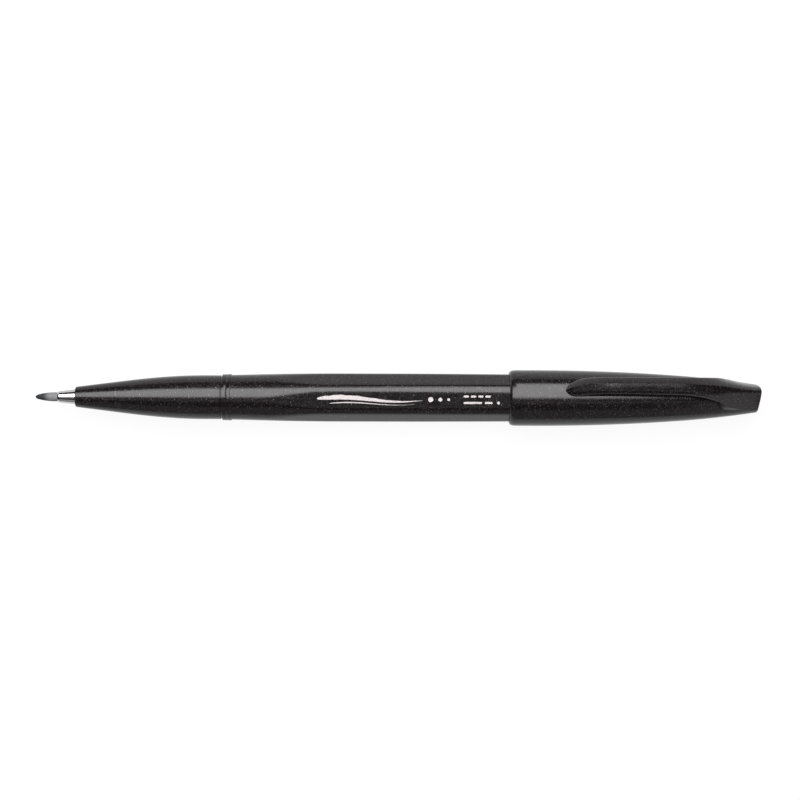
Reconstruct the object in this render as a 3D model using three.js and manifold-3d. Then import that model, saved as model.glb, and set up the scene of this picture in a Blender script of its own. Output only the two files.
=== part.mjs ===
// Brush pen lying on its side, with its cap pushed onto the tail of the barrel.
//
// Millimetres. The pen's axis lies along X, the nib points to -X and +Z is up.
// A station is a distance along the pen from the tip of the nib, and every outline
// is a path whose x is the station and whose y is the radius there.

import * as THREE from 'three';
import { mergeVertices } from 'three/addons/utils/BufferGeometryUtils.js';
import Module from 'manifold-3d';

const wasm = await Module();
wasm.setup();

// Driving dimensions: stations along the pen
const penLength = 151.15;
const nibPivot = 3.75;
const ferruleMouth = 4.7;
const sectionFront = 8.45;
const sectionEnd = 38.85;
const ringFront = 39.15;
const ringEnd = 41.07;
const flatsFullDepth = 60;
const flatsTaper = 88;
const capMouth = 99.06;
const barrelTail = 125;
const clipTip = 110.4;
const clipRoot = 141.9;

// Driving dimensions: radii, and the barrel's flats
const nibRadius = 0.95;
const ferruleRadius = 1.6;
const sectionRadius = 4.595;
const ringRadius = 4.85;
const cornerRadius = 5.05;
const flatDistance = 4.66;
const flatCount = 6;
const capRadius = 5.83;
const capBore = 5.05;
const barrelBore = 3.6;
const reservoirRadius = 3.2;
const clipLean = THREE.MathUtils.degToRad(26.5);
const clipHalfWidth = 1.87;
const endCrest = 4.5;

// Clearances
const slip = 0.1;
const nibSlip = 0.07;
const hingeGap = 0.3;

// Fineness
const roundFacets = 16;
const thinFacets = 12;
const curveSteps = 4;

// ---------------------------------------------------------------- helpers

function path(station, radius) {
  return new THREE.Path().moveTo(station, radius);
}

/** A body of revolution about the pen's axis, whose flats sit at the outline's radius. */
function lathe(outline, facets = roundFacets) {
  const halfFacet = Math.PI / facets;
  const points = outline.getPoints(curveSteps);
  const ring = points.map((p) => new THREE.Vector2(p.y / Math.cos(halfFacet), p.x));
  return new THREE.LatheGeometry(ring, facets, halfFacet).rotateZ(-Math.PI / 2);
}

/** A closed skin through cross-sections of equal point counts, each one convex. */
function loft(sections) {
  const size = sections[0].length;
  const triangles = [];
  for (let i = 1; i < size - 1; i += 1) {
    const last = (sections.length - 1) * size;
    triangles.push(0, i + 1, i);
    triangles.push(last, last + i, last + i + 1);
  }
  for (let s = 0; s < sections.length - 1; s += 1) {
    for (let i = 0; i < size; i += 1) {
      const near = s * size + i;
      const nearNext = s * size + (i + 1) % size;
      triangles.push(near, nearNext, nearNext + size);
      triangles.push(near, nearNext + size, near + size);
    }
  }
  const geometry = new THREE.BufferGeometry().setFromPoints(sections.flat());
  geometry.setIndex(triangles);
  geometry.computeVertexNormals();
  return geometry;
}

/** The boolean solid of a closed geometry. */
function solidOf(geometry) {
  const bare = geometry.clone();
  bare.deleteAttribute('normal');
  bare.deleteAttribute('uv');
  const merged = mergeVertices(bare, 1e-4);
  const corners = Array.from(merged.index.array);
  const triVerts = [];
  for (let i = 0; i < corners.length; i += 3) {
    const [a, b, c] = corners.slice(i, i + 3);
    if (a !== b && b !== c && c !== a) {
      triVerts.push(a, b, c);
    }
  }
  const vertProperties = new Float32Array(merged.attributes.position.array);
  const mesh = new wasm.Mesh({ numProp: 3, vertProperties, triVerts: new Uint32Array(triVerts) });
  return new wasm.Manifold(mesh);
}

/** The geometry of a boolean solid. */
function geometryOf(solid) {
  const mesh = solid.getMesh();
  const geometry = new THREE.BufferGeometry();
  geometry.setAttribute('position', new THREE.BufferAttribute(mesh.vertProperties, 3));
  geometry.setIndex(new THREE.BufferAttribute(mesh.triVerts, 1));
  geometry.computeVertexNormals();
  return geometry;
}

// ---------------------------------------------------------------- materials

function plastic(color, roughness) {
  return new THREE.MeshStandardMaterial({ color, roughness, metalness: 0 });
}

const blackPlastic = plastic(0x141317, 0.18);
const greyPlastic = plastic(0x8f9296, 0.5);
const whitePlastic = plastic(0xe4e2dc, 0.45);
const filmPlastic = plastic(0xd7e3ea, 0.3);
const fibre = plastic(0x4a4a4e, 0.9);
const inkedFibre = plastic(0x26262b, 0.95);
const polishedMetal = new THREE.MeshStandardMaterial({
  color: 0xc9cbd0, roughness: 0.12, metalness: 1,
});

// ---------------------------------------------------------------- writing end

/** The free end of the brush nib: a pointed bullet with a ball at the back to bend on. */
function nibTip() {
  const outline = path(0, 0)
    .quadraticCurveTo(0.08, 0.43, 1.0, 0.6)
    .quadraticCurveTo(2.1, 0.89, nibPivot, nibRadius)
    .absarc(nibPivot, 0, nibRadius, Math.PI / 2, 0, true);
  return lathe(outline, thinFacets);
}

/** The rest of the nib: a straight fibre rod that carries ink from the reservoir. */
function nibShank() {
  const front = nibPivot + nibRadius + slip;
  const outline = path(front, 0)
    .lineTo(front, nibRadius)
    .lineTo(27.7, nibRadius)
    .lineTo(27.7, 0);
  return lathe(outline, thinFacets);
}

/** The bright metal cone round the nib, with a sleeve that sits in the front section. */
function nibFerrule() {
  const bore = nibRadius + nibSlip;
  const outline = path(ferruleMouth, bore)
    .lineTo(ferruleMouth, 1.06)
    .lineTo(ferruleMouth + 0.18, 1.2)
    .lineTo(sectionFront, ferruleRadius)
    .lineTo(15, ferruleRadius)
    .lineTo(15, bore)
    .lineTo(ferruleMouth, bore);
  return lathe(outline);
}

/** The tapered plug that centres the nib's rod behind the ferrule. */
function nibHolder() {
  const bore = nibRadius + slip;
  const outline = path(15.4, bore)
    .lineTo(15.4, 1.85)
    .lineTo(26.2, 3.05)
    .lineTo(26.2, 3.25)
    .lineTo(27.4, 3.25)
    .lineTo(27.4, bore)
    .lineTo(15.4, bore);
  return lathe(outline);
}

/** The tapered grip, with a spigot that screws into the barrel. */
function frontSection() {
  const sleeveBore = ferruleRadius + slip;
  const coneEnd = 19;
  const coneEndRadius = 3.44;
  const fullWidth = 35.4;
  const shoulder = 28.2;
  const grooveRadius = 4.4;
  const spigotRadius = 3.9;
  const spigotEnd = 46;
  const reservoirBore = 3.5;
  const outline = path(sectionFront, sleeveBore)
    .lineTo(sectionFront, sleeveBore + 0.08)
    .quadraticCurveTo(sectionFront + 0.12, 2.08, sectionFront + 0.55, 2.11)
    .lineTo(coneEnd, coneEndRadius)
    .quadraticCurveTo(shoulder, sectionRadius, fullWidth, sectionRadius)
    .lineTo(sectionEnd - 0.1, sectionRadius)
    .lineTo(sectionEnd, sectionRadius - 0.1)
    .lineTo(sectionEnd, grooveRadius)
    .lineTo(ringFront - 0.05, grooveRadius)
    .lineTo(ringFront - 0.05, spigotRadius)
    .lineTo(spigotEnd, spigotRadius)
    .lineTo(spigotEnd, reservoirBore)
    .lineTo(27.6, reservoirBore)
    .lineTo(15.2, 1.95)
    .lineTo(15.2, sleeveBore)
    .lineTo(sectionFront, sleeveBore);
  return lathe(outline);
}

// ---------------------------------------------------------------- barrel

/** A circle with six flats cut off it, one of them facing up. */
function barrelSection(station, corner, flat) {
  const roundHalfAngle = Math.PI / roundFacets;
  const halfAngle = Math.max(Math.acos(Math.min(flat / corner, 1)), roundHalfAngle);
  const sector = (2 * Math.PI) / flatCount;
  const arc = sector - 2 * halfAngle;
  const points = [];
  for (let k = 0; k < flatCount; k += 1) {
    for (const turn of [-halfAngle, halfAngle, halfAngle + arc / 3, halfAngle + (2 * arc) / 3]) {
      const angle = k * sector + turn;
      points.push(new THREE.Vector3(station, -corner * Math.sin(angle), corner * Math.cos(angle)));
    }
  }
  return points;
}

/** The six-sided barrel with its raised ring at the front and its open tail. */
function barrel() {
  const swell = path(42.4, 4.69).quadraticCurveTo(54, cornerRadius, 64, cornerRadius);
  const sections = [
    barrelSection(ringFront, ringRadius - 0.18, ringRadius),
    barrelSection(ringFront + 0.2, ringRadius - 0.03, ringRadius),
    barrelSection(ringEnd - 0.2, ringRadius, ringRadius),
    barrelSection(ringEnd, ringRadius - 0.18, ringRadius),
  ];
  for (const point of swell.getPoints(8)) {
    const depth = THREE.MathUtils.smoothstep(point.x, 46, flatsFullDepth);
    const flat = THREE.MathUtils.lerp(point.y, flatDistance, depth);
    sections.push(barrelSection(point.x, point.y, flat));
  }
  sections.push(
    barrelSection(flatsTaper, 5.01, flatDistance),
    barrelSection(capMouth, 4.95, 4.61),
    barrelSection(118, 4.86, 4.54),
    barrelSection(barrelTail - 0.8, 4.4, 4.2),
    barrelSection(barrelTail, 4.15, 4.15),
  );
  const socketEnd = 46.3;
  const hollow = path(ringFront - 1, 0)
    .lineTo(ringFront - 1, 4)
    .lineTo(socketEnd, 4)
    .lineTo(socketEnd, barrelBore)
    .lineTo(barrelTail + 1, barrelBore)
    .lineTo(barrelTail + 1, 0);
  return geometryOf(solidOf(loft(sections)).subtract(solidOf(lathe(hollow))));
}

/** The fibre core that holds the ink. */
function inkReservoir() {
  const outline = path(28, 0)
    .lineTo(28, reservoirRadius)
    .lineTo(118.5, reservoirRadius)
    .lineTo(118.5, 0);
  return lathe(outline);
}

/** The thin plastic film round the fibre core. */
function reservoirWrap() {
  const inner = reservoirRadius + 0.05;
  const outer = reservoirRadius + 0.18;
  const outline = path(28.2, inner)
    .lineTo(28.2, outer)
    .lineTo(118.3, outer)
    .lineTo(118.3, inner)
    .lineTo(28.2, inner);
  return lathe(outline);
}

/** The cup-shaped plug that shuts the barrel's tail. */
function tailPlug() {
  const flangeFront = barrelTail + 0.05;
  const flangeBack = barrelTail + 0.9;
  const cupRadius = barrelBore - slip;
  const outline = path(124, 0)
    .lineTo(124, 2.6)
    .lineTo(119.5, 2.6)
    .lineTo(119.5, cupRadius)
    .lineTo(flangeFront, cupRadius)
    .lineTo(flangeFront, 4.05)
    .lineTo(flangeBack - 0.3, 4.05)
    .lineTo(flangeBack, 3.75)
    .lineTo(flangeBack, 0);
  return lathe(outline);
}

// ---------------------------------------------------------------- cap

/** The clip's cross-section: a roof with a crest, upright sides and a flat underside. */
function clipSection(station, crest, edge, halfWidth, under, fullness = 0.5) {
  const shoulder = [0.58 * halfWidth, edge + fullness * (crest - edge)];
  const halfOutline = [[0.95 * halfWidth, under], [halfWidth, edge], shoulder];
  const left = halfOutline.map(([y, z]) => new THREE.Vector3(station, -y, z));
  const right = halfOutline.map(([y, z]) => new THREE.Vector3(station, y, z)).reverse();
  return [...left, new THREE.Vector3(station, 0, crest), ...right].reverse();
}

/** The springy arm of the clip, from its nose on the cap's side to its root. */
function capClip() {
  const sections = [
    clipSection(clipTip, 6.4, 6.1, 0.5, 5.93),
    clipSection(112, 7.42, 6.2, 1.6, 5.93),
    clipSection(114, 8.1, 6.65, 1.92, 5.91),
    clipSection(116, 8.38, 7.2, 1.92, 5.87),
    clipSection(118, 8.48, 7.55, clipHalfWidth, 5.84),
    clipSection(124, 8.53, 7.62, clipHalfWidth, 5.82),
    clipSection(131, 8.43, 7.45, 1.92, 5.79),
    clipSection(137, 8.13, 7.15, 2.05, 5.68),
    clipSection(clipRoot, 6.98, 5.2, 2.7, 4.5, 0.58),
  ];
  return loft(sections).rotateX(-clipLean);
}

/** The flared foot of the clip, which grows out of the cap's end. */
function clipFoot() {
  const fullness = 0.62;
  const sections = [
    clipSection(clipRoot + hingeGap, 6.88, 5.05, 2.8, 0, 0.58),
    clipSection(144.4, 6.16, 3.3, 3.13, 0, fullness),
    clipSection(147.1, 5.36, 1.75, 3.09, 0, fullness),
    clipSection(149.6, 4.76, 0.72, 3.0, 0, fullness),
    clipSection(penLength, endCrest, 0.36, 2.88, 0, fullness),
  ];
  return loft(sections).rotateX(-clipLean);
}

/** The cap's round outer skin, from its rolled mouth to its narrow end. */
function capOutside() {
  const outline = path(capMouth, 0)
    .lineTo(capMouth, capBore)
    .quadraticCurveTo(capMouth + 0.1, capRadius, capMouth + 1.3, capRadius)
    .lineTo(104.5, capRadius)
    .quadraticCurveTo(121.1, capRadius, 137, 4.56)
    .quadraticCurveTo(144.6, 3.87, 151, 2.87)
    .lineTo(penLength, 2.7)
    .lineTo(penLength, 0);
  return lathe(outline);
}

/** The hollow of the cap: a long socket for the barrel, then a seat for the inner cap. */
function capHollow() {
  const seatFront = 126.2;
  const outline = path(capMouth - 1, 0)
    .lineTo(capMouth - 1, capBore)
    .lineTo(118, capBore - 0.04)
    .lineTo(barrelTail, 4.5)
    .lineTo(seatFront, 4.1)
    .lineTo(131, 4.05)
    .lineTo(137, 3.65)
    .lineTo(143.6, 3.05)
    .lineTo(143.6, 0);
  return lathe(outline);
}

/** A block beyond the slanted end face of the cap. */
function endCutter() {
  const slant = Math.atan(0.085);
  return new THREE.BoxGeometry(6, 20, 20)
    .translate(3, 0, 0)
    .rotateY(slant)
    .translate(penLength, 0, endCrest)
    .rotateX(-clipLean);
}

/** The cap: a shell with the foot of the clip moulded on, cut off at its slanted end. */
function capShell() {
  const outside = solidOf(capOutside()).add(solidOf(clipFoot()));
  return geometryOf(outside.subtract(solidOf(capHollow())).subtract(solidOf(endCutter())));
}

/** The liner that shuts round the nib when the cap is on the writing end. */
function innerCap() {
  const front = 126.6;
  const bore = 3;
  const outline = path(142.3, 0)
    .lineTo(141.8, 2.4)
    .lineTo(137, bore)
    .lineTo(front, bore)
    .lineTo(front, 3.95)
    .lineTo(front + 1, 3.95)
    .lineTo(131, 3.85)
    .lineTo(137, 3.5)
    .lineTo(142.2, 2.95)
    .lineTo(143, 2.6)
    .lineTo(143, 0);
  return lathe(outline);
}

// ---------------------------------------------------------------- assembly

function piece(name, geometry, material) {
  const mesh = new THREE.Mesh(geometry, material);
  mesh.name = name;
  return mesh;
}

const writingEnd = new THREE.Group().add(
  piece('nib_tip', nibTip(), fibre),
  piece('nib_shank', nibShank(), fibre),
  piece('nib_ferrule', nibFerrule(), polishedMetal),
  piece('nib_holder', nibHolder(), greyPlastic),
  piece('front_section', frontSection(), blackPlastic),
);

const body = new THREE.Group().add(
  piece('barrel', barrel(), blackPlastic),
  piece('ink_reservoir', inkReservoir(), inkedFibre),
  piece('reservoir_wrap', reservoirWrap(), filmPlastic),
  piece('tail_plug', tailPlug(), blackPlastic),
);

const cap = new THREE.Group().add(
  piece('cap_shell', capShell(), blackPlastic),
  piece('cap_clip', capClip(), blackPlastic),
  piece('inner_cap', innerCap(), whitePlastic),
);

const pen = new THREE.Group().add(writingEnd, body, cap);
pen.position.set(-penLength / 2, 0, capRadius);

export default pen;
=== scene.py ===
"""Brush pen with its cap on the tail: the fine meshes, materials, camera and light.

Lengths are in millimetres until a mesh is made. A station is a distance along the pen
from the tip of the nib, and a cross-section has Y across the pen and Z up, from its axis.
"""

import math

import bpy
import numpy as np
from mathutils import Matrix, Vector


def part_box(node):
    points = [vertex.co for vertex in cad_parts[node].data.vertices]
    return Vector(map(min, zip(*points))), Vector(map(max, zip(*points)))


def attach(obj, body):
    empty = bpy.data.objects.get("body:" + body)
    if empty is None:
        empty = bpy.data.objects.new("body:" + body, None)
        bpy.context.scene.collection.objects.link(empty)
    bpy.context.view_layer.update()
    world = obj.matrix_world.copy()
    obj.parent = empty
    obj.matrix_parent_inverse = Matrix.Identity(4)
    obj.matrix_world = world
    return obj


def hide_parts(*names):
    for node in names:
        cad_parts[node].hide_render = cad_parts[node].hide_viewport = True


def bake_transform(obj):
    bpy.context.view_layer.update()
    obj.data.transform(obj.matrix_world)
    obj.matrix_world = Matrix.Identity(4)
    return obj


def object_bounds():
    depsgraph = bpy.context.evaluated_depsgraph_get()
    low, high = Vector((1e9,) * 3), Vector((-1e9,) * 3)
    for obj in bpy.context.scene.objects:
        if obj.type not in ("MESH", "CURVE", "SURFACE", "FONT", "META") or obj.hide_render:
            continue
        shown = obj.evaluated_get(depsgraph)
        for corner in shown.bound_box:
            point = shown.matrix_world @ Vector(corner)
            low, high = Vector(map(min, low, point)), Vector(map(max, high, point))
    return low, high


MM = 0.001
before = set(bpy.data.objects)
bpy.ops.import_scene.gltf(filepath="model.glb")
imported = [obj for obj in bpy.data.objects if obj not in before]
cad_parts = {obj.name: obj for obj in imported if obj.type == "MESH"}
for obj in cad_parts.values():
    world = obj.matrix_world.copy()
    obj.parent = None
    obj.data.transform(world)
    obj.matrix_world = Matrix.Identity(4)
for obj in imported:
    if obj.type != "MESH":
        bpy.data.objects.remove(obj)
cad_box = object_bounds()

# ---------------------------------------------------------------- places, from the frame

CORE_LOW, CORE_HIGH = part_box("ink_reservoir")
TIP_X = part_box("nib_tip")[0].x
AXIS_Z = (CORE_LOW.z + CORE_HIGH.z) / 2


def station(x):
    """How far along the pen a place on the X axis is."""
    return (x - TIP_X) / MM


def span(node):
    """The stations at which a CAD node starts and ends."""
    low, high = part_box(node)
    return station(low.x), station(high.x)


def width(node):
    """A CAD node's size across the pen."""
    low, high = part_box(node)
    return (high.y - low.y) / MM


def place(s, y=0.0, z=0.0):
    """A point of the row frame, in metres, from a station and a cross-section place."""
    return Vector((TIP_X + s * MM, y * MM, AXIS_Z + z * MM))


SHANK_BACK = span("nib_shank")[1]
FERRULE_FRONT, FERRULE_BACK = span("nib_ferrule")
SECTION_FRONT, SPIGOT_BACK = span("front_section")
RING_FRONT, BARREL_TAIL = span("barrel")
PLUG_FRONT, PLUG_BACK = span("tail_plug")
CAP_MOUTH, CAP_END = span("cap_shell")
LINER_FRONT, LINER_BACK = span("inner_cap")
CLIP_NOSE = span("cap_clip")[0]

CAP_RADIUS = width("cap_shell") / 2
NIB_RADIUS = 0.95
FERRULE_RADIUS = width("nib_ferrule") / 2
SECTION_RADIUS = 4.595
SECTION_END = RING_FRONT - 0.27
RING_BACK = RING_FRONT + 1.92
GROOVE_RADIUS = 4.4
RING_RADIUS = 4.85
CORNER_RADIUS = 5.05
FLAT_DISTANCE = 4.66
CAP_BORE = 5.05
HOLLOW_END = 143.6
CLIP_LEAN = math.radians(26.5)
END_CREST = 4.45
END_SLANT = 0.085

FINE = 128  # points round the larger pieces
SMALL = 64  # points round the smaller pieces


# ---------------------------------------------------------------- curves

def bezier(start, pull, end, steps=16):
    """Points of a quadratic curve, without its first point."""
    start, pull, end = (np.array(p, float) for p in (start, pull, end))
    t = np.linspace(0, 1, steps + 1)[1:, None]
    return [tuple(p) for p in (1 - t) ** 2 * start + 2 * t * (1 - t) * pull + t ** 2 * end]


def smooth_curve(*points):
    """A function that runs smoothly through the points, each (station, value)."""
    xs, ys = np.array(points, float).T
    slopes = np.gradient(ys, xs)
    slopes[0] = (ys[1] - ys[0]) / (xs[1] - xs[0])
    slopes[-1] = (ys[-1] - ys[-2]) / (xs[-1] - xs[-2])

    def value(x):
        x = np.clip(np.asarray(x, float), xs[0], xs[-1])
        i = np.clip(np.searchsorted(xs, x) - 1, 0, len(xs) - 2)
        gap = xs[i + 1] - xs[i]
        t = (x - xs[i]) / gap
        rise = (2 * t ** 3 - 3 * t ** 2 + 1) * ys[i] + (3 * t ** 2 - 2 * t ** 3) * ys[i + 1]
        lean = (t ** 3 - 2 * t ** 2 + t) * slopes[i] + (t ** 3 - t ** 2) * slopes[i + 1]
        return rise + gap * lean

    return value


def smoothstep(low, high, x):
    """0 below low, 1 above high, and an S-shaped rise between them."""
    t = np.clip((np.asarray(x, float) - low) / (high - low), 0, 1)
    return t * t * (3 - 2 * t)


def filleted(points, steps=5):
    """An outline whose corners are rounded where a point has a third number, its radius."""
    made = []
    for i, point in enumerate(points):
        here = np.array(point[:2], float)
        if len(point) < 3 or i in (0, len(points) - 1):
            made.append(tuple(here))
            continue
        before = np.array(points[i - 1][:2], float) - here
        after = np.array(points[i + 1][:2], float) - here
        reach = min(point[2], np.linalg.norm(before) * 0.49, np.linalg.norm(after) * 0.49)
        start = here + before / np.linalg.norm(before) * reach
        end = here + after / np.linalg.norm(after) * reach
        made.append(tuple(start))
        made.extend(bezier(start, here, end, steps))
    return made


# ---------------------------------------------------------------- meshes

def mesh_piece(name, points, faces, material, sharp_degrees=30):
    """A smooth-shaded object from points in metres."""
    mesh = bpy.data.meshes.new(name)
    mesh.from_pydata([tuple(p) for p in points], [], faces)
    mesh.validate()
    mesh.shade_smooth()
    mesh.set_sharp_from_angle(angle=math.radians(sharp_degrees))
    mesh.materials.append(material)
    piece = bpy.data.objects.new(name, mesh)
    bpy.context.scene.collection.objects.link(piece)
    return piece


def skin(rings, closed_loop=False):
    """Points and faces through rings of equal size; a ring of one point is a pole."""
    points, starts = [], []
    for ring in rings:
        starts.append(len(points))
        points.extend(ring)
    faces = []
    pairs = list(zip(range(len(rings) - 1), range(1, len(rings))))
    if closed_loop:
        pairs.append((len(rings) - 1, 0))
    for a, b in pairs:
        near, far = starts[a], starts[b]
        size_a, size_b = len(rings[a]), len(rings[b])
        size = max(size_a, size_b)
        for i in range(size):
            j = (i + 1) % size
            if size_a == 1:
                faces.append((near, far + j, far + i))
            elif size_b == 1:
                faces.append((near + i, near + j, far))
            else:
                faces.append((near + i, near + j, far + j, far + i))
    return points, faces


def revolve(name, outline, material, count=FINE):
    """A body of revolution about the pen's axis. The outline runs forwards on the outside."""
    angles = np.linspace(0, 2 * math.pi, count, endpoint=False)
    rings = []
    for s, r in outline:
        if r < 1e-6:
            rings.append([place(s)])
        else:
            rings.append([place(s, -r * math.sin(a), r * math.cos(a)) for a in angles])
    points, faces = skin(rings)
    return mesh_piece(name, points, faces, material)


# ---------------------------------------------------------------- materials

def new_material(name):
    """A new node material, with its nodes and links."""
    material = bpy.data.materials.new(name)
    material.use_nodes = True
    return material, material.node_tree.nodes, material.node_tree.links


def node(nodes, kind, **inputs):
    """A shader node with its inputs set by name."""
    made = nodes.new(kind)
    for key, value in inputs.items():
        made.inputs[key.replace("_", " ")].default_value = value
    return made


def math_node(nodes, links, operation, first, second):
    """A Math node; each operand is a number or a socket."""
    made = nodes.new("ShaderNodeMath")
    made.operation = operation
    for socket, operand in zip(made.inputs, (first, second)):
        if isinstance(operand, (int, float)):
            socket.default_value = operand
        else:
            links.new(operand, socket)
    return made.outputs[0]


def mixed(nodes, links, share, low, high):
    """A colour between two others; each is a tuple or a socket."""
    made = nodes.new("ShaderNodeMix")
    made.data_type = "RGBA"
    links.new(share, made.inputs["Factor"])
    for socket, colour in zip((made.inputs[6], made.inputs[7]), (low, high)):
        if isinstance(colour, tuple):
            socket.default_value = (*colour, 1)
        else:
            links.new(colour, socket)
    return made.outputs[2]


def ramp(nodes, links, value, low, high, start=0.0, end=1.0):
    """value mapped from low..high to start..end, held at the ends."""
    made = nodes.new("ShaderNodeMapRange")
    for key, number in (("From Min", low), ("From Max", high), ("To Min", start), ("To Max", end)):
        made.inputs[key].default_value = number
    links.new(value, made.inputs["Value"])
    return made.outputs[0]


def flakes(nodes, links, place_socket, per_metre, share, radius):
    """1 on small round flakes scattered at one per cell, 0 between them."""
    cells = node(nodes, "ShaderNodeTexVoronoi", Scale=per_metre, Randomness=1.0)
    links.new(place_socket, cells.inputs["Vector"])
    split = nodes.new("ShaderNodeSeparateColor")
    links.new(cells.outputs["Color"], split.inputs[0])
    chosen = math_node(nodes, links, "LESS_THAN", split.outputs[0], share)
    disc = ramp(nodes, links, cells.outputs["Distance"], radius, radius * 0.6)
    bright = ramp(nodes, links, split.outputs[1], 0, 1, 0.25, 1.0)
    seen = math_node(nodes, links, "MULTIPLY", chosen, disc)
    return math_node(nodes, links, "MULTIPLY", seen, bright)


def pearl_black(name, base=(0.0042, 0.0030, 0.0036), pearl=(0.10, 0.085, 0.09), roughness=0.2):
    """Glossy black plastic with fine pearl flakes moulded into it."""
    material, nodes, links = new_material(name)
    shader = nodes["Principled BSDF"]
    shader.inputs["IOR"].default_value = 1.38
    coords = nodes.new("ShaderNodeTexCoord").outputs["Object"]
    large = flakes(nodes, links, coords, 2000, 0.4, 0.3)
    small = flakes(nodes, links, coords, 5200, 0.5, 0.45)
    dim_small = math_node(nodes, links, "MULTIPLY", small, 0.5)
    speck = math_node(nodes, links, "MAXIMUM", large, dim_small)
    links.new(mixed(nodes, links, speck, base, pearl), shader.inputs["Base Color"])
    metal = math_node(nodes, links, "MULTIPLY", speck, 0.85)
    links.new(metal, shader.inputs["Metallic"])
    cloud = node(nodes, "ShaderNodeTexNoise", Scale=420.0, Detail=4.0, Roughness=0.6)
    links.new(coords, cloud.inputs["Vector"])
    worn = ramp(nodes, links, cloud.outputs["Fac"], 0.3, 0.7, roughness - 0.03, roughness + 0.04)
    rough = math_node(nodes, links, "ADD", worn, math_node(nodes, links, "MULTIPLY", speck, 0.12))
    links.new(rough, shader.inputs["Roughness"])
    grain = node(nodes, "ShaderNodeTexNoise", Scale=2600.0, Detail=2.0)
    links.new(coords, grain.inputs["Vector"])
    lift = math_node(nodes, links, "ADD", math_node(nodes, links, "MULTIPLY", speck, 0.5),
                     grain.outputs["Fac"])
    bump = node(nodes, "ShaderNodeBump", Strength=0.4, Distance=0.00002)
    links.new(lift, bump.inputs["Height"])
    links.new(bump.outputs["Normal"], shader.inputs["Normal"])
    return material


def polished_metal(name):
    """Bright turned metal with faint rings round it from polishing."""
    material, nodes, links = new_material(name)
    shader = nodes["Principled BSDF"]
    shader.inputs["Metallic"].default_value = 1.0
    coords = nodes.new("ShaderNodeTexCoord").outputs["Object"]
    stretch = node(nodes, "ShaderNodeMapping", Scale=(9000.0, 250.0, 250.0))
    links.new(coords, stretch.inputs["Vector"])
    lines = node(nodes, "ShaderNodeTexNoise", Scale=1.0, Detail=3.0)
    links.new(stretch.outputs["Vector"], lines.inputs["Vector"])
    tone = mixed(nodes, links, lines.outputs["Fac"], (0.46, 0.45, 0.46), (0.60, 0.58, 0.59))
    links.new(tone, shader.inputs["Base Color"])
    links.new(ramp(nodes, links, lines.outputs["Fac"], 0.3, 0.7, 0.03, 0.07),
              shader.inputs["Roughness"])
    bump = node(nodes, "ShaderNodeBump", Strength=0.08, Distance=0.00001)
    links.new(lines.outputs["Fac"], bump.inputs["Height"])
    links.new(bump.outputs["Normal"], shader.inputs["Normal"])
    return material


def nib_fibre(name, ink_front, ink_back):
    """Grey bonded fibre, inked black from the tip back to between two places on X."""
    material, nodes, links = new_material(name)
    shader = nodes["Principled BSDF"]
    shader.inputs["Roughness"].default_value = 0.62
    shader.inputs["Specular IOR Level"].default_value = 0.35
    coords = nodes.new("ShaderNodeTexCoord").outputs["Object"]
    split = nodes.new("ShaderNodeSeparateXYZ")
    links.new(coords, split.inputs[0])
    height = math_node(nodes, links, "SUBTRACT", split.outputs["Z"], AXIS_Z)
    angle = math_node(nodes, links, "ARCTAN2", split.outputs["Y"], height)
    along = math_node(nodes, links, "MULTIPLY", split.outputs["X"], 260.0)
    joined = nodes.new("ShaderNodeCombineXYZ")
    links.new(along, joined.inputs[0])
    links.new(math_node(nodes, links, "MULTIPLY", angle, 5.0), joined.inputs[1])
    streaks = node(nodes, "ShaderNodeTexNoise", Scale=2.2, Detail=5.0, Roughness=0.65)
    links.new(joined.outputs[0], streaks.inputs["Vector"])
    dry = mixed(nodes, links, ramp(nodes, links, streaks.outputs["Fac"], 0.32, 0.68),
                (0.085, 0.085, 0.09), (0.175, 0.175, 0.18))
    ragged = math_node(nodes, links, "MULTIPLY",
                       math_node(nodes, links, "SUBTRACT", streaks.outputs["Fac"], 0.5), 0.0016)
    edge = math_node(nodes, links, "ADD", split.outputs["X"], ragged)
    inked = ramp(nodes, links, edge, ink_front, ink_back, 1.0, 0.0)
    links.new(mixed(nodes, links, inked, dry, (0.009, 0.010, 0.012)), shader.inputs["Base Color"])
    bump = node(nodes, "ShaderNodeBump", Strength=0.5, Distance=0.00004)
    links.new(streaks.outputs["Fac"], bump.inputs["Height"])
    links.new(bump.outputs["Normal"], shader.inputs["Normal"])
    return material


def moulded(name, colour, darker, roughness, scale=900.0):
    """Plain moulded plastic with a faint mottle."""
    material, nodes, links = new_material(name)
    shader = nodes["Principled BSDF"]
    coords = nodes.new("ShaderNodeTexCoord").outputs["Object"]
    mottle = node(nodes, "ShaderNodeTexNoise", Scale=scale, Detail=4.0)
    links.new(coords, mottle.inputs["Vector"])
    share = ramp(nodes, links, mottle.outputs["Fac"], 0.35, 0.65)
    links.new(mixed(nodes, links, share, darker, colour), shader.inputs["Base Color"])
    rough = ramp(nodes, links, mottle.outputs["Fac"], 0.3, 0.7, roughness - 0.05, roughness + 0.05)
    links.new(rough, shader.inputs["Roughness"])
    bump = node(nodes, "ShaderNodeBump", Strength=0.15, Distance=0.00002)
    links.new(mottle.outputs["Fac"], bump.inputs["Height"])
    links.new(bump.outputs["Normal"], shader.inputs["Normal"])
    return material


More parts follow.
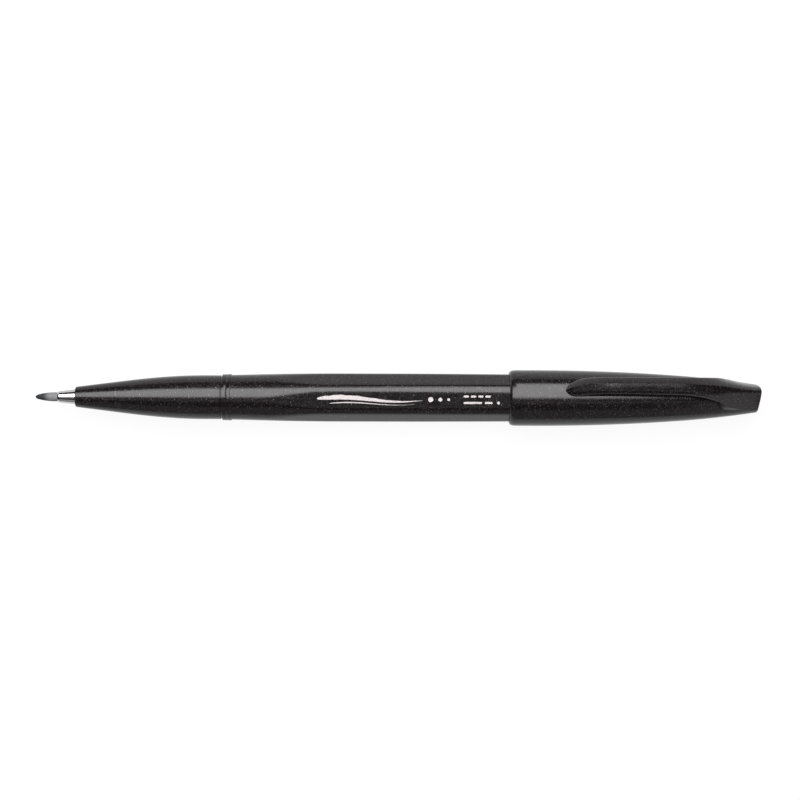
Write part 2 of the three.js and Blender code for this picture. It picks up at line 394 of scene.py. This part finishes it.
def printing_ink(name):
    """White printing ink, thin enough that a little black shows through in pinholes."""
    material, nodes, links = new_material(name)
    shader = nodes["Principled BSDF"]
    coords = nodes.new("ShaderNodeTexCoord").outputs["Object"]
    pores = node(nodes, "ShaderNodeTexNoise", Scale=5200.0, Detail=2.0)
    links.new(coords, pores.inputs["Vector"])
    solid = ramp(nodes, links, pores.outputs["Fac"], 0.28, 0.42)
    links.new(mixed(nodes, links, solid, (0.10, 0.09, 0.09), (0.46, 0.42, 0.42)),
              shader.inputs["Base Color"])
    links.new(ramp(nodes, links, pores.outputs["Fac"], 0.3, 0.7, 0.55, 0.4),
              shader.inputs["Roughness"])
    return material


BLACK = pearl_black("pearl_black_plastic")
METAL = polished_metal("polished_ferrule_metal")
NIB = nib_fibre("inked_nib_fibre", place(1.8).x, place(3.0).x)
LINER = moulded("milky_liner_plastic", (0.80, 0.79, 0.75), (0.72, 0.71, 0.67), 0.4)
PLUG = moulded("plug_plastic", (0.016, 0.015, 0.017), (0.011, 0.010, 0.012), 0.35)
HOLDER = moulded("holder_plastic", (0.30, 0.30, 0.32), (0.24, 0.24, 0.26), 0.5)
CORE = moulded("ink_soaked_fibre", (0.05, 0.05, 0.055), (0.02, 0.02, 0.025), 0.9, 5000.0)
FILM = moulded("reservoir_film", (0.75, 0.80, 0.83), (0.68, 0.73, 0.77), 0.25)
INK = printing_ink("white_printing_ink")


# ---------------------------------------------------------------- writing end

def make_nib():
    """The fibre nib in one piece: a pointed bullet with fine grooves that meet at the tip."""
    nose = [(0, 0)] + bezier((0, 0), (0.06, 0.42), (1.0, 0.595), 18)
    nose += bezier((1.0, 0.595), (2.15, 0.89), (3.8, NIB_RADIUS), 22)
    outline = nose + [(FERRULE_FRONT, NIB_RADIUS), (6.5, NIB_RADIUS * 0.98),
                      (SHANK_BACK, NIB_RADIUS * 0.98), (SHANK_BACK, 0)]
    count = 96
    deepest = 0.016
    grooves = np.random.default_rng(5).uniform(-1, 1, count)
    angles = np.linspace(0, 2 * math.pi, count, endpoint=False)
    rings = []
    for s, r in outline:
        depth = deepest * float(smoothstep(0.1, 1.2, s))
        if r < 1e-6:
            rings.append([place(s)])
            continue
        radii = r - depth * (0.5 + 0.5 * grooves)
        rings.append([place(s, -q * math.sin(a), q * math.cos(a)) for q, a in zip(radii, angles)])
    points, faces = skin(rings)
    piece = mesh_piece("brush_nib", points, faces, NIB, 60)
    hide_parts("nib_tip", "nib_shank")
    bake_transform(piece)


def make_ferrule():
    """The polished cone round the nib, with a rolled rim."""
    bore = NIB_RADIUS + 0.03
    outline = filleted([
        (FERRULE_FRONT + 2, bore), (FERRULE_FRONT + 0.02, bore), (FERRULE_FRONT + 0.02, 1.0),
        (FERRULE_FRONT + 0.37, 1.2, 0.03), (SECTION_FRONT, FERRULE_RADIUS, 0.2),
        (FERRULE_BACK, FERRULE_RADIUS), (FERRULE_BACK, bore), (FERRULE_FRONT + 2, bore),
    ])
    piece = revolve("nib_ferrule_metal", outline, METAL, SMALL)
    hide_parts("nib_ferrule")
    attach(piece, "pen_body")


def make_front_section():
    """The long tapered grip, rounded at its front face and stepped down into the barrel."""
    bore = FERRULE_RADIUS + 0.03
    cone_end = (19, 3.44)
    full = (35.4, SECTION_RADIUS)
    front = filleted([
        (15, bore), (SECTION_FRONT + 0.06, bore, 0.05), (SECTION_FRONT, 1.68, 0.05),
        (SECTION_FRONT + 0.02, 2.12, 0.5), (cone_end[0] - 1, cone_end[1] - 0.1244),
    ], 8)
    swell = bezier(cone_end, (28.2, SECTION_RADIUS), full, 28)
    back = filleted([
        full, (SECTION_END, SECTION_RADIUS, 0.1), (SECTION_END, GROOVE_RADIUS, 0.03),
        (RING_FRONT - 0.05, GROOVE_RADIUS), (RING_FRONT - 0.05, 3.9), (SPIGOT_BACK, 3.9),
        (SPIGOT_BACK, 3.5), (27.6, 3.5), (15.2, 1.95), (15.2, bore), (15, bore),
    ])
    piece = revolve("front_grip_section", front + [cone_end] + swell + back[1:], BLACK)
    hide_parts("front_section")
    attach(piece, "pen_body")


# ---------------------------------------------------------------- barrel

def barrel_ring(s, corner, flat, hardness=60.0):
    """A cross-section between a circle and six flats, with soft corners."""
    sector = math.pi / 3
    ring = []
    for a in np.linspace(0, 2 * math.pi, FINE + 64, endpoint=False):
        off = (a + sector / 2) % sector - sector / 2
        facet = flat / math.cos(off)
        r = (corner ** -hardness + facet ** -hardness) ** (-1 / hardness)
        ring.append(place(s, -r * math.sin(a), r * math.cos(a)))
    return ring


def make_barrel():
    """The barrel: a raised ring, then a round waist that turns into six flats."""
    round_flat = 9.0  # a flat this far out doesn't touch the circle
    head = filleted([
        (SPIGOT_BACK + 0.3, 4.0), (RING_FRONT, 4.0, 0.05), (RING_FRONT, RING_RADIUS - 0.05, 0.18),
        (RING_FRONT + 0.9, RING_RADIUS - 0.03), (RING_FRONT + 1.0, RING_RADIUS - 0.07),
        (RING_FRONT + 1.1, RING_RADIUS), (RING_BACK, RING_RADIUS, 0.14), (RING_BACK, 4.67, 0.05),
        (RING_BACK + 1.2, 4.69),
    ])
    rings = [barrel_ring(s, r, round_flat) for s, r in head]
    swell = bezier(head[-1], (54, CORNER_RADIUS), (64, CORNER_RADIUS), 44)
    for s, r in swell:
        depth = float(smoothstep(45.5, 60, s))
        flat = (1 - depth) * (r + 0.06) + depth * FLAT_DISTANCE
        hardness = 400 - 340 * float(smoothstep(45, 52, s))
        rings.append(barrel_ring(s, r, flat, hardness))
    for s, r, flat in ((72, 5.05, FLAT_DISTANCE), (80, 5.047, FLAT_DISTANCE),
                       (88, 5.01, FLAT_DISTANCE), (CAP_MOUTH, 4.95, 4.61), (118, 4.86, 4.54),
                       (BARREL_TAIL - 0.8, 4.4, 4.2), (BARREL_TAIL - 0.3, 4.25, 4.15),
                       (BARREL_TAIL, 4.0, 4.1)):
        rings.append(barrel_ring(s, r, flat))
    for s, r in ((BARREL_TAIL, 3.62), (BARREL_TAIL - 6, 3.6), (SPIGOT_BACK + 0.3, 3.6)):
        rings.append(barrel_ring(s, r, round_flat))
    points, faces = skin(rings, closed_loop=True)
    piece = mesh_piece("six_sided_barrel", points, faces, BLACK, 35)
    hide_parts("barrel")
    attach(piece, "pen_body")


def make_tail_plug():
    """The plug in the barrel's tail, with a shallow dimple in its end."""
    outline = filleted([
        (PLUG_BACK - 1.9, 0), (PLUG_BACK - 1.9, 2.6), (PLUG_FRONT, 2.6, 0.1),
        (PLUG_FRONT, 3.5, 0.3), (BARREL_TAIL + 0.05, 3.5), (BARREL_TAIL + 0.05, 4.0, 0.1),
        (PLUG_BACK, 4.0, 0.4), (PLUG_BACK, 1.2, 0.2), (PLUG_BACK - 0.25, 1.0, 0.1),
        (PLUG_BACK - 0.25, 0),
    ])
    piece = revolve("barrel_tail_plug", outline, PLUG, SMALL)
    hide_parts("tail_plug")
    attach(piece, "pen_body")


# ---------------------------------------------------------------- cap

BODY_FRONT = bezier((104.5, CAP_RADIUS), (121.1, CAP_RADIUS), (137, 4.56), 40)
BODY_BACK = bezier((137, 4.56), (144.6, 3.87), (151, 2.87), 24)
BODY_OUTLINE = np.array([(CAP_MOUTH, CAP_RADIUS), (104.5, CAP_RADIUS), *BODY_FRONT, *BODY_BACK,
                         (153, 2.53)])


def body_radius(s):
    """The round cap's outer radius behind its mouth."""
    return np.interp(s, BODY_OUTLINE[:, 0], BODY_OUTLINE[:, 1])


CREST = smooth_curve((110.5, 6.1), (111.1, 6.75), (112, 7.33), (113, 7.75), (114, 8.02),
                     (116, 8.3), (118, 8.41), (124, 8.46), (131, 8.36), (137, 8.06),
                     (140.2, 7.46), (142.5, 6.72), (144.4, 6.08), (147.1, 5.28), (149.6, 4.68),
                     (151.5, END_CREST), (153, 4.28))
EDGE = smooth_curve((110.5, 6.02), (112, 6.1), (113, 6.22), (114, 6.44), (116, 6.86),
                    (118, 7.15), (124, 7.2), (131, 7.08), (137, 6.7), (140.2, 5.8),
                    (142.5, 4.6), (144.4, 3.15), (147.1, 1.68), (149.6, 0.67), (153, 0.3))
HALF_WIDTH = smooth_curve((110.5, 0.22), (110.9, 0.8), (111.5, 1.25), (112.3, 1.6), (113.4, 1.84),
                          (115, 1.87), (118, 1.82), (124, 1.82), (131, 1.87), (137, 1.98),
                          (140.2, 2.32), (142.5, 2.76), (144.4, 3.08), (147.1, 3.05),
                          (149.6, 2.96), (153, 2.8))
UNDERSIDE = smooth_curve((110.5, 5.96), (114, 5.94), (118, 5.88), (124, 5.85), (131, 5.82),
                         (137, 5.72), (140.2, 5.1), (142.5, 4.45), (144.4, 2.6), (147.1, 1.2))


def flank(share, s):
    """The height of the clip's roof, share 0 at the crest and 1 at its edge."""
    arm = 0.6 * share + 0.4 * (1 - (1 - share ** 3) ** (1 / 3))
    foot = 0.3 * share + 0.7 * share ** 2
    drop = arm + (foot - arm) * smoothstep(139, 145, s)
    return CREST(s) - (CREST(s) - EDGE(s)) * drop


def nose_shift(s):
    """How far the clip's nose sits to one side of its middle line."""
    return 0.45 * (1 - float(smoothstep(110.5, 115, s)))


def clip_turn(s, y, z):
    """A place in the cap's own cross-section, turned so that the clip leans over."""
    return place(s, y * math.cos(CLIP_LEAN) + z * math.sin(CLIP_LEAN),
                 z * math.cos(CLIP_LEAN) - y * math.sin(CLIP_LEAN))


def foot_radius(angle, s):
    """How far the clip's foot reaches from the axis, at an angle from its crest."""
    share = np.linspace(0, 1, 40)
    y = np.append(share * HALF_WIDTH(s), 0.8 * HALF_WIDTH(s))
    z = np.append(flank(share, s), 0.0)
    around = np.arctan2(y, z)
    reach = np.hypot(y, z)
    off = np.abs((angle + math.pi) % (2 * math.pi) - math.pi)
    return np.where(off <= around[-1], np.interp(off, around, reach), 0.0)


def cap_radius(angle, s):
    """The cap's outer radius: its round body with the foot of the clip growing out of it."""
    body = body_radius(s)
    grown = float(smoothstep(141.2, 143.8, s))
    if grown == 0:
        return body
    sunk = 0.05 * (1 - float(smoothstep(143.6, 144.6, s)))
    least = 0.8 * body
    foot = least + grown * (np.maximum(foot_radius(angle, s) - sunk, least) - least)
    power = 48.0
    return (body ** power + foot ** power) ** (1 / power)


def cap_angles():
    """Points round the cap, closer together where the clip's foot is."""
    crowding = 0.45
    even = np.linspace(-math.pi, math.pi, FINE + 96, endpoint=False)
    return even - crowding * np.sin(even)


def make_cap_shell():
    """The cap in one closed skin: end face, outside, rolled mouth and hollow."""
    angles = cap_angles()
    last_square = 145.0  # rings slant more and more from this station to the end face
    face = CAP_END - 0.02
    wide_round, fine_round = 0.17, 0.05

    def ring(s, radius_of):
        radii = [radius_of(a, s) for a in angles]
        return [clip_turn(s, r * math.sin(a), r * math.cos(a)) for a, r in zip(angles, radii)]

    def slanted_ring(progress, back=0.0):
        """A ring part of the way to the end face, set back from there by some mm."""
        points = []
        for a in angles:
            end = face
            for _ in range(4):
                z = float(cap_radius(a, end)) * math.cos(a)
                end = face - END_SLANT * (END_CREST - z)
            s = last_square + (end - last_square) * progress - back
            r = float(cap_radius(a, s))
            points.append(clip_turn(s, r * math.sin(a), r * math.cos(a)))
        return points

    def shrunk(loop, inwards):
        centre = sum(loop, Vector()) / len(loop)
        return [p + (centre - p).normalized() * inwards * MM for p in loop]

    end_ring = slanted_ring(1.0)
    end_centre = sum(end_ring, Vector()) / len(end_ring)
    rings = [[end_centre]]
    for share in (0.35, 0.7, 0.9):
        rings.append([end_centre + (p - end_centre) * share for p in end_ring])
    rings.append(shrunk(end_ring, wide_round))
    inner, outer = shrunk(end_ring, fine_round), slanted_ring(1.0, fine_round)
    rings.append([(p + q) / 2 for p, q in zip(inner, outer)])
    rings.append(slanted_ring(1.0, wide_round))
    for progress in np.linspace(0.96, 0.04, 26):
        rings.append(slanted_ring(progress))
    for s in np.arange(last_square, 140.6, -0.25):
        rings.append(ring(s, cap_radius))
    for s in np.linspace(140.4, 104.5, 42):
        rings.append(ring(s, lambda a, x: float(body_radius(x))))
    mouth = bezier((CAP_MOUTH + 1.5, CAP_RADIUS), (CAP_MOUTH + 0.25, CAP_RADIUS),
                   (CAP_MOUTH, CAP_RADIUS - 0.5), 12)
    hollow = [(CAP_MOUTH + 1.5, CAP_RADIUS), *mouth, (CAP_MOUTH + 0.03, CAP_BORE + 0.06),
              (CAP_MOUTH + 0.2, CAP_BORE), (118, CAP_BORE - 0.04), (BARREL_TAIL, 4.5),
              (126.2, 4.1), (131, 4.05), (137, 3.65), (HOLLOW_END, 3.05)]
    for s, r in hollow:
        rings.append(ring(s, lambda a, x, held=r: held))
    rings.append([place(HOLLOW_END)])
    points, faces = skin([list(reversed(r)) for r in rings])
    piece = mesh_piece("cap_shell_moulding", points, faces, BLACK, 38)
    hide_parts("cap_shell")
    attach(piece, "cap")


def clip_ring(s):
    """The clip's cross-section as one loop: a roof, upright sides and a flat underside."""
    buried = float(smoothstep(143.6, 145.4, s))  # the root ends inside the cap's foot
    half = float(HALF_WIDTH(s)) * (1 - 0.06 * buried)
    sunk = 0.18 * buried
    low_half = half * 0.98
    edge = float(EDGE(s)) - sunk
    under = float(UNDERSIDE(s)) - sunk
    soft = min(0.13, 0.3 * (edge - under), 0.3 * half)
    share = np.sin(np.linspace(0, math.pi / 2, 24))
    roof = [(half * u, float(flank(u, s)) - sunk) for u in share]
    side = [(half, edge - soft), (low_half, under + soft)]
    lower = bezier((low_half, under + soft), (low_half, under), (low_half - soft, under), 4)
    right = roof + side + lower + [(half * 0.4, under)]
    loop = right + [(0.0, under)] + [(-y, z) for y, z in reversed(right[1:])]
    return [clip_turn(s, y - nose_shift(s), z) for y, z in loop]


def make_clip():
    """The clip: a ridged arm that runs from its nose back into the cap's end."""
    stations = np.concatenate([
        CLIP_NOSE + 0.12 + 3.2 * np.linspace(0, 1, 22) ** 1.6,
        np.linspace(114.3, 139.6, 38),
        np.linspace(140, 146, 24),
    ])
    rings = [clip_ring(s) for s in stations]
    nose = sum(rings[0], Vector()) / len(rings[0])
    root = sum(rings[-1], Vector()) / len(rings[-1])
    rings = [[nose - Vector((0.08 * MM, 0, 0))], *rings, [root]]
    points, faces = skin([list(reversed(r)) for r in rings])
    piece = mesh_piece("pocket_clip", points, faces, BLACK, 42)
    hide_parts("cap_clip")
    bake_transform(piece)


def make_liner():
    """The milky liner deep in the cap, attached to a body of its own."""
    outline = filleted([
        (142.3, 0), (141.8, 2.4), (137, 3.0), (LINER_FRONT, 3.0, 0.15),
        (LINER_FRONT, 3.95, 0.15), (LINER_FRONT + 1, 3.95, 0.1), (131, 3.85), (137, 3.5),
        (142.2, 2.95, 0.3), (LINER_BACK, 2.6, 0.3), (LINER_BACK, 0),
    ])
    piece = revolve("cap_liner_moulding", outline, LINER, SMALL)
    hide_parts("inner_cap")
    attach(piece, "cap_liner")


# ---------------------------------------------------------------- print

def printed_shape(name, outlines):
    """Flat shapes of white ink on the barrel's upper flat, each a loop of (station, y)."""
    top, thickness = FLAT_DISTANCE + 0.012, 0.03
    points, faces = [], []
    for loop in outlines:
        first, size = len(points), len(loop)
        points += [place(s, y, top) for s, y in loop]
        points += [place(s, y, top - thickness) for s, y in loop]
        faces.append(tuple(range(first, first + size)))
        faces.append(tuple(reversed(range(first + size, first + 2 * size))))
        for i in range(size):
            j = (i + 1) % size
            faces.append((first + j, first + i, first + size + i, first + size + j))
    piece = mesh_piece(name, points, faces, INK, 20)
    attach(piece, "pen_body")


def brush_stroke(start, end, y, sway, heavy):
    """A tapered stroke between two stations, heaviest near its start."""
    t = np.linspace(0, 1, 60)
    s = start + (end - start) * t
    middle = y + sway * np.sin(2 * math.pi * (t * 0.9 + 0.05))
    weight = heavy * (np.sin(math.pi * t ** 0.55) ** 0.8) * (1 - 0.45 * t)
    ragged = 1 + 0.10 * np.sin(37 * t) + 0.06 * np.sin(83 * t + 1)
    upper = list(zip(s, middle + weight * ragged / 2))
    lower = list(zip(s, middle - weight / 2))
    return [(float(a), float(b)) for a, b in lower + upper[-2:0:-1]]


def dot(s, y, r, count=28):
    """A round dot."""
    turn = np.linspace(0, 2 * math.pi, count, endpoint=False)
    return [(s + r * math.cos(a), y + r * math.sin(a)) for a in turn]


def bar(start, end, y, height, count=8):
    """A short bar with round ends."""
    r = height / 2
    half_turn = np.linspace(-math.pi / 2, math.pi / 2, count)
    right = [(end - r + r * math.cos(a), y + r * math.sin(a)) for a in half_turn]
    left = [(start + r - r * math.cos(a), y - r * math.sin(a)) for a in half_turn]
    return right + left


def make_print():
    """A plain brush stroke with dots, then two rows of small bars: no lettering."""
    printed_shape("printed_stroke", [
        brush_stroke(59.0, 81.2, 0.05, 0.46, 1.05),
        brush_stroke(61.6, 79.6, -0.84, 0.26, 0.24),
        dot(82.6, 0.05, 0.52), dot(84.6, 0.05, 0.40), dot(86.3, 0.05, 0.30),
    ])
    left, tall = 89.4, 0.42
    upper_row, lower_row = 0.72, -0.62
    upper = [bar(left + 1.5 * k, 90.5 + 1.5 * k, upper_row, tall) for k in range(4)]
    lower = [bar(left, 93.2, lower_row, tall), bar(93.8, 95.4, lower_row, tall),
             dot(96.6, lower_row, 0.3)]
    printed_shape("printed_bars", upper + lower)


# ---------------------------------------------------------------- inside

def dress_inner_nodes():
    """Materials for the CAD pieces that stay inside the pen."""
    for name, material in (("nib_holder", HOLDER), ("ink_reservoir", CORE),
                           ("reservoir_wrap", FILM)):
        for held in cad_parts[name].material_slots:
            held.link = "OBJECT"
            held.material = material


# ---------------------------------------------------------------- stage

CAMERA_DISTANCE = 0.38
CAMERA_LEAN = math.radians(5.5)  # how far past upright the camera looks from
CAMERA_ROLL = 0.0026
VIEW_WIDTH = 0.1674
VIEW_STATION = 76.25  # where along and across the pen the camera looks, in mm
VIEW_OFFSET = -0.49
LAMP_DISTANCE = 0.6
FLOOR_GLOW, FAR_FLOOR_GLOW = 0.93, 0.4
FADE_START, FADE_END = 0.13, 0.5  # how far out the floor's glow fades, in metres
WORLD_STRENGTH = 0.03


def look(thing, location, target, up):
    """Puts a camera or light at location, looking at target, with up as its upper side."""
    back = (location - target).normalized()
    across = up.cross(back).normalized()
    upright = back.cross(across)
    turn = Matrix((across, upright, back)).transposed().to_4x4()
    thing.matrix_world = Matrix.Translation(location) @ turn


def make_camera():
    """A long lens that looks down on the side of the pen."""
    data = bpy.data.cameras.new("camera")
    data.sensor_width = 36
    data.lens = 36 * CAMERA_DISTANCE / VIEW_WIDTH
    data.clip_start, data.clip_end = 0.01, 20
    camera = bpy.data.objects.new("camera", data)
    bpy.context.scene.collection.objects.link(camera)
    target = Vector((place(VIEW_STATION).x, VIEW_OFFSET * MM, AXIS_Z))
    towards = Vector((0, math.sin(CAMERA_LEAN), math.cos(CAMERA_LEAN)))
    look(camera, target + towards * CAMERA_DISTANCE, target, Vector((-CAMERA_ROLL, 1, 0)))
    bpy.context.scene.camera = camera


def make_floor():
    """A pale floor that glows evenly under the pen and fades further out."""
    material, nodes, links = new_material("pale_floor")
    shader = nodes["Principled BSDF"]
    shader.inputs["Roughness"].default_value = 0.9
    shader.inputs["Specular IOR Level"].default_value = 0.0
    shader.inputs["Emission Color"].default_value = (1, 1, 1, 1)
    coords = nodes.new("ShaderNodeTexCoord").outputs["Object"]
    distance = nodes.new("ShaderNodeVectorMath")
    distance.operation = "LENGTH"
    links.new(coords, distance.inputs[0])
    glow = ramp(nodes, links, distance.outputs["Value"], FADE_START, FADE_END,
                FLOOR_GLOW, FAR_FLOOR_GLOW)
    links.new(glow, shader.inputs["Emission Strength"])
    paper = node(nodes, "ShaderNodeTexNoise", Scale=300.0, Detail=3.0)
    links.new(coords, paper.inputs["Vector"])
    links.new(mixed(nodes, links, paper.outputs["Fac"], (0.05, 0.05, 0.05), (0.06, 0.06, 0.06)),
              shader.inputs["Base Color"])
    half = 3.0
    z = cad_box[0].z
    corners = [(-half, -half, z), (half, -half, z), (half, half, z), (-half, half, z)]
    floor = mesh_piece("floor", corners, [(0, 1, 2, 3)], material)


def area_light(name, location, target, wide, tall, radiance):
    """A rectangular lamp of even radiance, its tall side along the pen."""
    data = bpy.data.lights.new(name, "AREA")
    data.shape = "RECTANGLE"
    data.size, data.size_y = wide, tall
    data.energy = radiance * math.pi * wide * tall
    lamp = bpy.data.objects.new(name, data)
    bpy.context.scene.collection.objects.link(lamp)
    look(lamp, location, target, Vector((1, 0, 0)))


def panel(name, middle, low, high, length, radiance):
    """A lamp along the pen, seen from it between two angles from upright."""
    low, high = math.radians(low), math.radians(high)
    lean = (low + high) / 2
    centre = Vector((middle, 0, AXIS_Z))
    towards = Vector((0, math.sin(lean), math.cos(lean)))
    tall = 2 * LAMP_DISTANCE * math.tan((high - low) / 2)
    area_light(name, centre + towards * LAMP_DISTANCE, centre, tall, length, radiance)


def make_lights():
    """Two softboxes over the pen's far side, three dim panels and a dim world."""
    panel("softbox_nib_end", -0.23, 5.5, 51, 0.46, 8.4)
    panel("softbox_cap_end", 0.105, 5.5, 66, 0.21, 8.6)
    panel("strip", -0.05, -16, -10, 0.8, 0.9)
    panel("near_side", -0.1, -86, -46, 0.8, 0.36)
    panel("cap_end", 0.6, -88, -24, 0.6, 1.1)
    world = bpy.data.worlds.new("studio")
    world.use_nodes = True
    world.node_tree.nodes["Background"].inputs["Color"].default_value = (1, 1, 1, 1)
    world.node_tree.nodes["Background"].inputs["Strength"].default_value = WORLD_STRENGTH
    bpy.context.scene.world = world
    bpy.context.scene.view_settings.view_transform = "Standard"


# ---------------------------------------------------------------- scene

make_camera()
make_nib()
make_ferrule()
make_front_section()
make_barrel()
make_tail_plug()
make_cap_shell()
make_clip()
make_liner()
make_print()
dress_inner_nodes()
make_floor()
make_lights()
